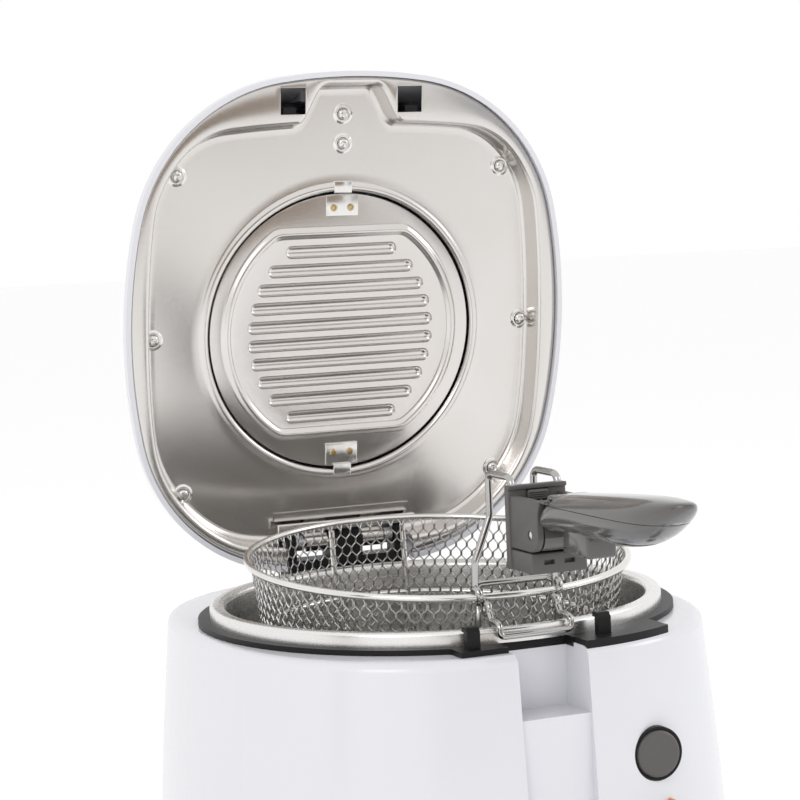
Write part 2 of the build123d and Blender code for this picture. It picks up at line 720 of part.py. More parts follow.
def make_handle_wires():
    wires = []
    for side in (-1, 1):
        foot_x = side * WIRE_FOOT_X
        foot_y = BASKET_Y - math.sqrt(BASKET_RADIUS**2 - WIRE_FOOT_X**2) + RIM_WIRE
        top_x = side * WIRE_TOP_X
        drop_y = PLATE_BACK_Y - PLATE_DEPTH / 2
        arch_z = PLATE_TOP_Z + WIRE_BEND + 0.1
        points = (
            (foot_x, foot_y, 200.4),
            (foot_x, foot_y - 0.6, 213.0),
            (top_x, -100.4, 238.0),
            (top_x, -100.2, arch_z),
            (top_x, drop_y, arch_z),
            (top_x, drop_y, PLATE_TOP_Z - 12.0),
        )
        wires.append(bent_wire(points, HANDLE_WIRE, WIRE_BEND))
    wires.append(rod_x(-WIRE_FOOT_X + 1.7, WIRE_FOOT_X - 1.7, foot_y + 2.0, 206.6, THIN_WIRE / 2))
    return Compound(wires)


def make_front_rest():
    x = 16.8
    in_y = -107.0
    out_y = -BOWL_RIM_RADIUS + BOWL_Y - THIN_WIRE / 2 - 0.2
    over_z = RIM_Z + THIN_WIRE / 2 + 0.3
    low_z = RIM_Z - 3.4
    points = (
        (-x, in_y, over_z + 6.0), (-x, in_y, over_z), (-x, out_y, over_z), (-x, out_y, low_z),
        (x, out_y, low_z), (x, out_y, over_z), (x, in_y, over_z), (x, in_y, over_z + 6.0),
    )
    return bent_wire(points, THIN_WIRE, 2.0)


def make_handle_plate():
    front = PLATE_BACK_Y - PLATE_DEPTH
    half = PLATE_HALF_WIDTH
    plate = block(-half, half, front, PLATE_BACK_Y, PLATE_BOTTOM_Z, PLATE_TOP_Z)
    plate = fillet(plate.edges().filter_by(Axis.Y), 1.2)
    for x0, x1 in ((-CHEEK_OUTER, -CHEEK_INNER), (CHEEK_INNER, CHEEK_OUTER)):
        cheek = block(x0, x1, CHEEK_FRONT_Y, front, CHEEK_LOW_Z, CHEEK_HIGH_Z)
        lower = cheek.edges().filter_by(Axis.X).group_by(Axis.Y)[0].sort_by(Axis.Z)[0]
        cheek = fillet(lower, CHEEK_LOW_CORNER)
        upper = cheek.edges().filter_by(Axis.X).group_by(Axis.Z)[-1].sort_by(Axis.Y)[0]
        cheek = fillet(upper, CHEEK_CORNER)
        plate += cheek
    # the block that the open grip's hub stands over
    plate += block(-CHEEK_OUTER, CHEEK_OUTER, REST_BLOCK_FRONT_Y, front, REST_BLOCK_LOW_Z, REST_BLOCK_HIGH_Z)
    for x0, x1 in ((-CHEEK_OUTER, -CHEEK_INNER), (CHEEK_INNER, CHEEK_OUTER)):
        plate += block(x0, x1, PIN_Y + 4.0, front, REST_BLOCK_HIGH_Z - 1.0, CHEEK_LOW_Z + 1.0)
    plate -= rod_x(-40, 40, PIN_Y, PIN_Z, GRIP_PIN_RADIUS)
    for side in (-1, 1):
        y = PLATE_BACK_Y - PLATE_DEPTH / 2
        plate -= disc(side * WIRE_TOP_X, y, PLATE_TOP_Z - 12.0, PLATE_TOP_Z + 5, HANDLE_WIRE / 2)
    # window behind the thumb button
    plate -= block(-5.3, 5.3, front - 1, front + 2.4, PLATE_TOP_Z - 10.4, PLATE_TOP_Z - 2.0)
    return plate


def make_handle_pin():
    return rod_x(-CHEEK_OUTER, CHEEK_OUTER, PIN_Y, PIN_Z, GRIP_PIN_RADIUS)


def make_thumb_button():
    front = PLATE_BACK_Y - PLATE_DEPTH
    button = block(-5, 5, front - 2.2, front + 2.1, PLATE_TOP_Z - 7.2, PLATE_TOP_Z - 2.4)
    return fillet(button.edges().group_by(Axis.Y)[0], 0.8)


def grip_solid():
    """The grip before it is split: rings of rounded section from the neck to the tip."""
    stations = (
        (GRIP_START_Y, 244.2, 12.6, 7.8), (-158.0, 244.4, 13.6, 8.6), (-178.0, 245.4, 14.0, 8.8),
        (-202.0, 246.2, 14.0, 10.2), (-226.0, 247.8, 13.2, 10.2), (-243.0, 251.4, 10.6, 7.2),
        (-254.0, 254.8, 6.4, 3.6), (GRIP_TIP_Y, 256.4, 1.8, 1.0),
    )
    faces = []
    for y, z, half_width, half_height in stations:
        plane = Plane(origin=(0, y, z), x_dir=(1, 0, 0), z_dir=(0, -1, 0))
        faces.append(plane * Ellipse(half_width, half_height))
    return loft(faces)


def grip_neck():
    """What joins the grip to its pin, between the cheeks, with the lever below the grip."""
    half = CHEEK_INNER - 0.6
    neck = block(-half, half, GRIP_START_Y - 6.0, PIN_Y + HUB_RADIUS, GRIP_BOTTOM_Z, CHEEK_HIGH_Z - 1.0)
    neck += rod_x(-half, half, PIN_Y, PIN_Z, HUB_RADIUS)
    lever_high = GRIP_BOTTOM_Z + 6.0
    lever = block(-7.0, 7.0, LEVER_FRONT_Y, LEVER_BACK_Y, LEVER_BOTTOM_Z, lever_high)
    neck += fillet(lever.edges().filter_by(Axis.X).group_by(Axis.Z)[0], 2.0)
    neck -= rod_x(-40, 40, PIN_Y, PIN_Z, GRIP_PIN_RADIUS + FIT)
    return neck


def make_grip_upper():
    return grip_solid() - block(-50, 50, -OVERSIZE, 0, 0, GRIP_SPLIT_Z) - grip_neck()


def make_grip_lower():
    lower = grip_solid() - block(-50, 50, -OVERSIZE, 0, GRIP_SPLIT_Z, OVERSIZE)
    return lower + grip_neck()


nodes = {
    "housing": make_housing(),
    "bowl_ring": make_ring(),
    "bowl": make_bowl(),
    "latch_hooks": make_hooks(),
    "feet": make_feet(),
    "base_plate": make_base_plate(),
    "base_screws": make_base_screws(),
    "heating_element": make_element(),
    "element_clamp": make_element_clamp(),
    "heat_shield": make_heat_shield(),
    "power_switch": make_switch_body(),
    "button_bezel": make_bezel(),
    "power_button": make_power_button(),
    "temperature_dial": make_dial(),
    "dial_shaft": make_dial_shaft(),
    "thermostat": make_thermostat(),
    "lamp_lenses": make_lamps(),
    "lamp_holders": make_lamp_holders(),
    "terminal_block": make_terminal_block(),
    "thermal_fuse": make_thermal_fuse(),
    "cord_inlet": make_cord_inlet(),
    "hinge_base": make_hinge_base(),
    "hinge_pin": make_hinge_pin(),
    "hinge_springs": make_hinge_springs(),
    "lid_shell": make_lid_shell(),
    "lid_lining": make_lid_plate(),
    "lid_screws": make_lid_screws(),
    "filter_cover": make_filter_cover(),
    "filter_pad": make_filter_pad(),
    "filter_tabs": make_filter_tabs(),
    "filter_rivets": make_filter_rivets(),
    "hinge_leaf": make_hinge_leaf(),
    "latch_slider": make_latch_slider(),
    "release_button": make_release_button(),
    "basket_rim": make_basket_rim(),
    "basket_mesh": make_basket_mesh(),
    "basket_wires": make_basket_wires(),
    "handle_wires": make_handle_wires(),
    "front_rest": make_front_rest(),
    "handle_plate": make_handle_plate(),
    "handle_pin": make_handle_pin(),
    "thumb_button": make_thumb_button(),
    "grip_upper": make_grip_upper(),
    "grip_lower": make_grip_lower(),
}
for name, shape in nodes.items():
    export_step(shape, f"parts/{name}.step")
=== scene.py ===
import bmesh
import bpy
import json
import math
from mathutils import Matrix, Vector


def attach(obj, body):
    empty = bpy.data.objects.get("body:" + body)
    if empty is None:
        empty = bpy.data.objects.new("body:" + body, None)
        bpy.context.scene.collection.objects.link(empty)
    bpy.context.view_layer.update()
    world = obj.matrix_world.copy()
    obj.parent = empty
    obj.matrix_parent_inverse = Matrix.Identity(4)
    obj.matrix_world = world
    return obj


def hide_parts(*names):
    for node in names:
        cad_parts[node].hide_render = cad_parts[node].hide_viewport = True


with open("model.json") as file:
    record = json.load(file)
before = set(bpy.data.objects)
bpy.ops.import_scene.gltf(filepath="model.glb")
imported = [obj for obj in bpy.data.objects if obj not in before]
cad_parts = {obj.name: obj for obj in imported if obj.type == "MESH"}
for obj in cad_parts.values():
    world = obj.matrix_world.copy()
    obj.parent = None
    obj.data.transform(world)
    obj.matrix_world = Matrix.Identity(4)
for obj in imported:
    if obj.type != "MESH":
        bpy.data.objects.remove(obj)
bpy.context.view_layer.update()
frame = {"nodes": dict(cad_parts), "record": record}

print("frame loaded:", len(frame["nodes"]), "nodes")

# camera, floor and light

cameraSettings = {
    "place": (-0.4384, -1.0250, 0.3721),
    "right": (0.9207, -0.3881, -0.0420),
    "up": (0.0612, 0.0373, 0.9974),
    "back": (-0.3855, -0.9209, 0.0581),
    "lens": 103.17,
    "shiftX": 0.00007,
    "shiftY": -0.0605,
}


def setCamera(values):
    bpy.ops.object.camera_add()
    camera = bpy.context.object
    camera.name = "studioCamera"
    turn = Matrix((values["right"], values["up"], values["back"])).transposed()
    camera.matrix_world = Matrix.Translation(values["place"]) @ turn.to_4x4()
    camera.data.sensor_width = 36.0
    camera.data.lens = values["lens"]
    camera.data.shift_x = values["shiftX"]
    camera.data.shift_y = values["shiftY"]
    camera.data.clip_start = 0.01
    camera.data.dof.use_dof = False
    bpy.context.scene.camera = camera


studioSettings = {
    "floorSize": 30.0,
    "worldColour": (1.0, 1.0, 1.0, 1.0),
    "worldStrength": 1.0,
    # name, place, aim, size, watts, colour
    "lights": (
        ("keyLight", (-1.6, -1.5, 1.5), (0, 0, 0.2), 0.9, 9, (1.0, 0.99, 0.98)),
        ("rightLight", (1.8, -0.6, 1.1), (0, 0, 0.25), 0.7, 5, (0.97, 0.98, 1.0)),
    ),
    # name, middle, turn about the upright in degrees, width, height, colour: boards that the steel mirrors
    "cards": (
        ("warmCard", (0.05, -2.3, 0.36), 0, 1.9, 0.86, (0.27, 0.215, 0.17)),
        ("coolCard", (1.75, -2.1, 0.5), 20, 0.8, 1.1, (0.42, 0.42, 0.44)),
        ("darkCard", (-2.2, -0.9, 0.6), -65, 0.35, 1.6, (0.10, 0.09, 0.09)),
    ),
}


def plainMaterial(name, colour, roughness):
    material = bpy.data.materials.new(name)
    material.use_nodes = True
    shader = material.node_tree.nodes["Principled BSDF"]
    shader.inputs["Base Color"].default_value = (*colour, 1.0)
    shader.inputs["Roughness"].default_value = roughness
    return material


def setStudio(values):
    world = bpy.data.worlds.new("studioWorld")
    bpy.context.scene.world = world
    world.use_nodes = True
    sky = world.node_tree.nodes["Background"]
    sky.inputs["Color"].default_value = values["worldColour"]
    sky.inputs["Strength"].default_value = values["worldStrength"]
    bpy.ops.mesh.primitive_plane_add(size=values["floorSize"], location=(0, 0, 0))
    floor = bpy.context.object
    floor.name = "studioFloor"
    floor.data.materials.append(plainMaterial("paleFloor", (0.975, 0.975, 0.975), 0.8))
    for name, place, aim, size, watts, colour in values["lights"]:
        bpy.ops.object.light_add(type="AREA", location=place)
        light = bpy.context.object
        light.name = name
        light.data.shape = "SQUARE"
        light.data.size = size
        light.data.energy = watts
        light.data.color = colour
        light.rotation_euler = (Vector(aim) - Vector(place)).to_track_quat("-Z", "Y").to_euler()
    for name, place, turn, width, height, colour in values["cards"]:
        bpy.ops.mesh.primitive_plane_add(size=1.0, location=place)
        card = bpy.context.object
        card.name = name
        card.scale = (width, height, 1)
        card.rotation_euler = (math.radians(90), 0, math.radians(turn))
        card.data.materials.append(plainMaterial(name + "Board", colour, 0.9))
        card.visible_camera = False
        card.visible_shadow = False
        card.visible_diffuse = False


setCamera(cameraSettings)
setStudio(studioSettings)
bpy.context.scene.view_settings.view_transform = "Standard"
print("studio set")

# finishes: colour a and b are mixed by a broad pattern, roughness runs from low to high by a fine one

finishes = {
    "whiteMoulding": {
        "colourA": (0.685, 0.685, 0.725), "colourB": (0.715, 0.715, 0.75), "patternScale": 9,
        "roughLow": 0.2, "roughHigh": 0.27, "fineScale": 420, "bump": 0.0, "coat": 0.35, "coatRough": 0.12,
    },
    "blackMoulding": {
        "colourA": (0.012, 0.012, 0.013), "colourB": (0.017, 0.016, 0.016), "patternScale": 40,
        "roughLow": 0.34, "roughHigh": 0.46, "fineScale": 1400, "bump": 0.12, "specular": 0.16,
    },
    "pressedAluminium": {
        "colourA": (0.80, 0.79, 0.775), "colourB": (0.835, 0.825, 0.81), "patternScale": 5, "metallic": 1.0,
        "roughLow": 0.26, "roughHigh": 0.29, "fineScale": 160, "stretch": (1, 1, 5), "bump": 0.0,
    },
    "satinSteel": {
        "colourA": (0.62, 0.585, 0.55), "colourB": (0.80, 0.785, 0.77), "patternScale": 7, "metallic": 1.0,
        "roughLow": 0.17, "roughHigh": 0.24, "fineScale": 500, "stretch": (1, 1, 7), "bump": 0.008,
    },
    "brightSteel": {
        "colourA": (0.72, 0.70, 0.67), "colourB": (0.85, 0.84, 0.82), "patternScale": 60, "metallic": 1.0,
        "roughLow": 0.12, "roughHigh": 0.22, "fineScale": 900, "bump": 0.02,
    },
    "brassRivet": {
        "colourA": (0.52, 0.40, 0.22), "colourB": (0.68, 0.55, 0.33), "patternScale": 300, "metallic": 1.0,
        "roughLow": 0.2, "roughHigh": 0.32, "fineScale": 900, "bump": 0.03,
    },
    "chromedWire": {
        "colourA": (0.42, 0.41, 0.40), "colourB": (0.52, 0.51, 0.50), "patternScale": 50, "metallic": 1.0,
        "roughLow": 0.08, "roughHigh": 0.16, "fineScale": 800, "bump": 0.03,
    },
    "glossyGrey": {
        "colourA": (0.080, 0.076, 0.074), "colourB": (0.096, 0.092, 0.090), "patternScale": 26,
        "roughLow": 0.09, "roughHigh": 0.15, "fineScale": 600, "bump": 0.03, "coat": 0.6, "coatRough": 0.06,
    },
    "matteGrey": {
        "colourA": (0.086, 0.080, 0.077), "colourB": (0.100, 0.094, 0.090), "patternScale": 40,
        "roughLow": 0.38, "roughHigh": 0.5, "fineScale": 1500, "bump": 0.08,
    },
    "greyKnob": {
        "colourA": (0.105, 0.100, 0.095), "colourB": (0.125, 0.120, 0.115), "patternScale": 40,
        "roughLow": 0.25, "roughHigh": 0.34, "fineScale": 900, "bump": 0.03, "coat": 0.3, "coatRough": 0.15,
    },
    "hiddenMoulding": {
        "colourA": (0.30, 0.29, 0.27), "colourB": (0.36, 0.35, 0.33), "patternScale": 30,
        "roughLow": 0.45, "roughHigh": 0.6, "fineScale": 700, "bump": 0.08,
    },
    "galvanisedSheet": {
        "colourA": (0.42, 0.43, 0.44), "colourB": (0.62, 0.63, 0.64), "patternScale": 70, "metallic": 1.0,
        "roughLow": 0.3, "roughHigh": 0.48, "fineScale": 300, "bump": 0.05,
    },
    "amberLens": {
        "colourA": (0.65, 0.18, 0.03), "colourB": (0.75, 0.24, 0.04), "patternScale": 60,
        "roughLow": 0.08, "roughHigh": 0.14, "fineScale": 500, "bump": 0.02, "coat": 0.5, "coatRough": 0.04,
    },
    "softRubber": {
        "colourA": (0.03, 0.03, 0.03), "colourB": (0.05, 0.048, 0.046), "patternScale": 60,
        "roughLow": 0.6, "roughHigh": 0.75, "fineScale": 900, "bump": 0.15,
    },
    "filterFleece": {
        "colourA": (0.05, 0.05, 0.048), "colourB": (0.10, 0.098, 0.09), "patternScale": 220,
        "roughLow": 0.85, "roughHigh": 0.98, "fineScale": 1600, "bump": 0.5,
    },
}


def makeFinish(name, values):
    material = bpy.data.materials.new(name)
    material.use_nodes = True
    nodes = material.node_tree.nodes
    links = material.node_tree.links
    shader = nodes["Principled BSDF"]
    shader.inputs["Metallic"].default_value = values.get("metallic", 0.0)
    shader.inputs["Specular IOR Level"].default_value = values.get("specular", 0.5)
    shader.inputs["Coat Weight"].default_value = values.get("coat", 0.0)
    shader.inputs["Coat Roughness"].default_value = values.get("coatRough", 0.1)
    place = nodes.new("ShaderNodeTexCoord")
    turn = nodes.new("ShaderNodeMapping")
    turn.inputs["Scale"].default_value = values.get("stretch", (1, 1, 1))
    links.new(place.outputs["Object"], turn.inputs["Vector"])
    broad = nodes.new("ShaderNodeTexNoise")
    broad.inputs["Scale"].default_value = values["patternScale"]
    broad.inputs["Detail"].default_value = 3.0
    links.new(place.outputs["Object"], broad.inputs["Vector"])
    tint = nodes.new("ShaderNodeMix")
    tint.data_type = "RGBA"
    tint.inputs["A"].default_value = (*values["colourA"], 1.0)
    tint.inputs["B"].default_value = (*values["colourB"], 1.0)
    links.new(broad.outputs["Fac"], tint.inputs["Factor"])
    links.new(tint.outputs["Result"], shader.inputs["Base Color"])
    fine = nodes.new("ShaderNodeTexNoise")
    fine.inputs["Scale"].default_value = values["fineScale"]
    fine.inputs["Detail"].default_value = 4.0
    links.new(turn.outputs["Vector"], fine.inputs["Vector"])
    spread = nodes.new("ShaderNodeMapRange")
    spread.inputs["From Min"].default_value = 0.3
    spread.inputs["From Max"].default_value = 0.7
    spread.inputs["To Min"].default_value = values["roughLow"]
    spread.inputs["To Max"].default_value = values["roughHigh"]
    links.new(fine.outputs["Fac"], spread.inputs["Value"])
    links.new(spread.outputs["Result"], shader.inputs["Roughness"])
    relief = nodes.new("ShaderNodeBump")
    relief.inputs["Strength"].default_value = values["bump"]
    relief.inputs["Distance"].default_value = 0.0006
    links.new(fine.outputs["Fac"], relief.inputs["Height"])
    links.new(relief.outputs["Normal"], shader.inputs["Normal"])
    return material


finishOf = {name: makeFinish(name, values) for name, values in finishes.items()}
finishOfSlot = {
    "white_plastic": "whiteMoulding",
    "black_plastic": "blackMoulding",
    "bowl_metal": "pressedAluminium",
    "lining_steel": "satinSteel",
    "bright_steel": "brightSteel",
    "basket_wire": "chromedWire",
    "grey_plastic": "glossyGrey",
    "grey_matte": "matteGrey",
    "dial_plastic": "greyKnob",
    "inner_plastic": "hiddenMoulding",
    "sheet_steel": "galvanisedSheet",
    "lens": "amberLens",
    "rubber": "softRubber",
    "filter": "filterFleece",
}
slotOfNode = {part["node"]: part["material_slot"] for part in frame["record"]["subparts"]}
for nodeName, node in frame["nodes"].items():
    node.data.materials.clear()
    node.data.materials.append(finishOf[finishOfSlot[slotOfNode[nodeName]]])
print("finishes made:", len(finishOf))

# helpers for modelling

mm = 0.001


def nothingSelected():
    if bpy.context.object and bpy.context.object.mode != "OBJECT":
        bpy.ops.object.mode_set(mode="OBJECT")
    bpy.ops.object.select_all(action="DESELECT")


def onlySelected(piece):
    nothingSelected()
    piece.select_set(True)
    bpy.context.view_layer.objects.active = piece


def addModifier(piece, kind, **values):
    onlySelected(piece)
    modifier = piece.modifiers.new(kind.title(), kind)
    for key, value in values.items():
        setattr(modifier, key, value)
    bpy.ops.object.modifier_apply(modifier=modifier.name)


def tidyNormals(piece):
    onlySelected(piece)
    bpy.ops.object.mode_set(mode="EDIT")
    bpy.ops.mesh.select_all(action="SELECT")
    bpy.ops.mesh.remove_doubles(threshold=0.00001)
    bpy.ops.mesh.normals_make_consistent(inside=False)
    bpy.ops.object.mode_set(mode="OBJECT")


def joinPieces(parts, name):
    nothingSelected()
    for part in parts:
        part.select_set(True)
    bpy.context.view_layer.objects.active = parts[0]
    bpy.ops.object.join()
    joined = bpy.context.object
    joined.name = name
    return joined


def ringStack(name, rings, capFirst=False, capLast=False):
    # a circle is extruded once for each ring, and every new ring is put in its place, in millimetres
    nothingSelected()
    bpy.ops.mesh.primitive_circle_add(vertices=len(rings[0]), radius=0.05)
    piece = bpy.context.object
    piece.name = name
    bpy.ops.object.mode_set(mode="EDIT")
    mesh = bmesh.from_edit_mesh(piece.data)
    order = mesh.verts.layers.int.new("order")
    for index, vertex in enumerate(mesh.verts):
        vertex[order] = index
        vertex.co = Vector(rings[0][index]) * mm
    bmesh.update_edit_mesh(piece.data)
    bpy.ops.mesh.select_all(action="SELECT")
    if capFirst:
        bpy.ops.mesh.edge_face_add()
        bpy.ops.mesh.select_all(action="SELECT")
        bpy.ops.mesh.poke() if capFirst == "poke" else None
        bpy.ops.mesh.select_mode(type="EDGE")
        bpy.ops.mesh.select_all(action="DESELECT")
        bpy.ops.mesh.select_non_manifold(extend=False)
    for ring in rings[1:]:
        bpy.ops.mesh.extrude_edges_move()
        mesh = bmesh.from_edit_mesh(piece.data)
        order = mesh.verts.layers.int["order"]
        for vertex in mesh.verts:
            if vertex.select:
                vertex.co = Vector(ring[vertex[order]]) * mm
        bmesh.update_edit_mesh(piece.data)
    if capLast:
        bpy.ops.mesh.edge_face_add()
    bpy.ops.mesh.select_all(action="SELECT")
    bpy.ops.mesh.normals_make_consistent(inside=False)
    bpy.ops.object.mode_set(mode="OBJECT")
    return piece


def circleRing(radius, z, count, centre=(0.0, 0.0)):
    return [
        (centre[0] + radius * math.cos(math.tau * i / count), centre[1] + radius * math.sin(math.tau * i / count), z)
        for i in range(count)
    ]


def roundedBox(name, low, high, bevel=0.6, segments=3):
    # low and high corners in millimetres
    nothingSelected()
    bpy.ops.mesh.primitive_cube_add(size=1.0)
    box = bpy.context.object
    box.name = name
    box.scale = [(h - l) * mm for l, h in zip(low, high)]
    box.location = [(h + l) / 2 * mm for l, h in zip(low, high)]
    bpy.ops.object.transform_apply(location=True, rotation=True, scale=True)
    if bevel:
        addModifier(box, "BEVEL", width=bevel * mm, segments=segments, limit_method="ANGLE")
    return box


def rodAlongX(name, x0, x1, y, z, radius, sides=48, bevel=0.4):
    nothingSelected()
    bpy.ops.mesh.primitive_cylinder_add(
        vertices=sides, radius=radius * mm, depth=(x1 - x0) * mm,
        location=((x0 + x1) / 2 * mm, y * mm, z * mm), rotation=(0, math.pi / 2, 0),
    )
    rod = bpy.context.object
    rod.name = name
    bpy.ops.object.transform_apply(location=True, rotation=True, scale=True)
    if bevel:
        addModifier(rod, "BEVEL", width=bevel * mm, segments=2, limit_method="ANGLE")
    return rod


def cutWith(piece, tools, operation="DIFFERENCE"):
    for tool in tools:
        addModifier(piece, "BOOLEAN", operation=operation, solver="EXACT", object=tool)
        bpy.data.objects.remove(tool, do_unlink=True)
    tidyNormals(piece)
    return piece


def bentPath(points, bend, steps=7):
    # the corners of a wire's path, rounded to one radius
    path = [Vector(points[0])]
    for before, corner, after in zip(points, points[1:], points[2:]):
        corner = Vector(corner)
        toBefore = Vector(before) - corner
        toAfter = Vector(after) - corner
        angle = toBefore.angle(toAfter)
        reach = min(bend / math.tan(angle / 2), 0.48 * toBefore.length, 0.48 * toAfter.length)
        start = corner + toBefore.normalized() * reach
        end = corner + toAfter.normalized() * reach
        for step in range(steps + 1):
            t = step / steps
            path.append(start * (1 - t) ** 2 + corner * 2 * t * (1 - t) + end * t * t)
    path.append(Vector(points[-1]))
    return path


def wireAlong(name, paths, diameter, sides=4):
    # round wire along each path, in millimetres, closed at its ends
    curve = bpy.data.curves.new(name, "CURVE")
    curve.dimensions = "3D"
    curve.bevel_depth = diameter / 2 * mm
    curve.bevel_resolution = sides
    curve.use_fill_caps = True
    for path in paths:
        closed = (Vector(path[0]) - Vector(path[-1])).length < 0.001
        points = path[:-1] if closed else path
        spline = curve.splines.new("POLY")
        spline.points.add(len(points) - 1)
        for place, point in zip(spline.points, points):
            place.co = (*(Vector(point) * mm), 1.0)
        spline.use_cyclic_u = closed
    wire = bpy.data.objects.new(name, curve)
    bpy.context.scene.collection.objects.link(wire)
    onlySelected(wire)
    bpy.ops.object.convert(target="MESH")
    tidyNormals(bpy.context.object)
    return bpy.context.object


def turnMesh(piece, matrix):
    piece.data.transform(matrix)
    piece.data.update()


hinge = {"y": 113.44, "z": 202.45, "open": 82.7}
basketSeat = {"y": -13.5, "z": 209.0, "tilt": 4.3}


def openLid(piece):
    pin = Vector((0, hinge["y"] * mm, hinge["z"] * mm))
    turn = Matrix.Rotation(math.radians(-hinge["open"]), 4, "X")
    turnMesh(piece, Matrix.Translation(pin) @ turn @ Matrix.Translation(-pin))


def tiltBasket(piece):
    seat = Vector((0, basketSeat["y"] * mm, basketSeat["z"] * mm))
    turnMesh(piece, Matrix.Translation(seat) @ Matrix.Rotation(math.radians(basketSeat["tilt"]), 4, "X"))


def dress(piece, name, body, finish, nodes, smooth=35):
    piece.name = name
    onlySelected(piece)
    bpy.ops.object.transform_apply(location=True, rotation=True, scale=True)
    bpy.ops.object.shade_smooth_by_angle(angle=math.radians(smooth))
    piece.data.materials.clear()
    piece.data.materials.append(finishOf[finish])
    for face in piece.data.polygons:
        face.material_index = 0
    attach(piece, body)
    if nodes:
        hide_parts(*nodes)
    return piece


# outlines of the lid, read by direction from a point near its middle

lidShape = {
    "halfWidth": 122.0, "halfLength": 131.5, "corner": 92.0, "bow": 280.0, "y": -4.5,
    "stepHalfWidth": 108.5, "stepFront": -109.0, "stepRear": 113.0, "stepCorner": 46.0, "stepBow": 700.0,
    "edgeMargin": 9.0, "bumpFront": -128.0, "bumpHalf": 14.5, "bumpFoot": 29.0,
    "flangeZ": 190.4, "plateZ": 203.4, "filterY": 1.2, "filterOpening": 74.0,
}
centreY = -1.0
directions = []
for part in range(720):
    angle = math.tau * part / 720
    towardsFront = abs((angle - 1.5 * math.pi + math.pi) % math.tau - math.pi)
    if part % 2 == 0 or towardsFront < 0.45:
        directions.append(angle)


def roundOutline(halfWidth, halfLength, corner, bow, y, inset=0.0):
    a, b = halfWidth - inset, halfLength - inset
    big, small = bow - inset, corner - inset
    sideX, endY = a - big, b - big
    span = math.hypot(sideX, endY)
    reach = big - small
    rise = math.sqrt(reach**2 - (span / 2) ** 2)
    alongX, alongY = -sideX / span, endY / span
    choices = []
    for sign in (1, -1):
        choices.append((sideX / 2 - alongY * rise * sign, endY / 2 + alongX * rise * sign))
    cornerX, cornerY = max(choices, key=lambda point: point[0] + point[1])
    low = math.atan2(cornerY, cornerX - sideX)
    high = math.atan2(cornerY - endY, cornerX)
    quarter = []
    for centreOf, radius, start, end in (
        ((sideX, 0), big, 0, low), ((cornerX, cornerY), small, low, high), ((0, endY), big, high, math.pi / 2),
    ):
        for step in range(40):
            angle = start + (end - start) * step / 40
            quarter.append((centreOf[0] + radius * math.cos(angle), centreOf[1] + radius * math.sin(angle)))
    top = (0.0, b)
    half = quarter + [top] + [(-x, py) for x, py in reversed(quarter)]
    full = half + [(x, -py) for x, py in reversed(half[1:-1])]
    return [(x, py + y) for x, py in full]


def offsetOutline(points, outwards):
    moved = []
    count = len(points)
    for i in range(count):
        x0, y0 = points[i - 1]
        x1, y1 = points[(i + 1) % count]
        length = math.hypot(x1 - x0, y1 - y0) or 1.0
        moved.append((points[i][0] + (y1 - y0) / length * outwards, points[i][1] - (x1 - x0) / length * outwards))
    return moved


def byDirection(points, z):
    # one point of the outline for each direction from the middle
    polar = sorted((math.atan2(y - centreY, x) % math.tau, math.hypot(x, y - centreY)) for x, y in points)
    polar = [(polar[-1][0] - math.tau, polar[-1][1])] + polar + [(polar[0][0] + math.tau, polar[0][1])]
    ring = []
    at = 0
    for angle in directions:
        while polar[at + 1][0] < angle:
            at += 1
        (a0, r0), (a1, r1) = polar[at], polar[at + 1]
        r = r0 + (r1 - r0) * ((angle - a0) / (a1 - a0) if a1 > a0 else 0)
        ring.append((r * math.cos(angle), centreY + r * math.sin(angle), z))
    return ring


def smoothStep(t):
    t = min(max(t, 0.0), 1.0)
    return t * t * (3 - 2 * t)


def stepOutline():
    s = lidShape
    middle = (s["stepFront"] + s["stepRear"]) / 2
    half = (s["stepRear"] - s["stepFront"]) / 2
    inner = byDirection(roundOutline(s["stepHalfWidth"], half, s["stepCorner"], s["stepBow"], middle), 0)
    limit = byDirection(
        roundOutline(s["halfWidth"], s["halfLength"], s["corner"], s["bow"], s["y"], s["edgeMargin"]), 0
    )
    outline = []
    for (x, y, _), (lx, ly, _) in zip(inner, limit):
        a, b = math.hypot(x, y - centreY), math.hypot(lx, ly - centreY)
        r = min(a, b) - 1.5 * math.exp(-abs(a - b) / 3.0)
        scale = r / a
        x, y = x * scale, centreY + (y - centreY) * scale
        if y < -60 and abs(x) < s["bumpFoot"] + 4:
            rise = 1 - smoothStep((abs(x) - s["bumpHalf"] + 1) / (s["bumpFoot"] - s["bumpHalf"]))
            y = y + (s["bumpFront"] - y) * rise
        outline.append((x, y))
    return outline


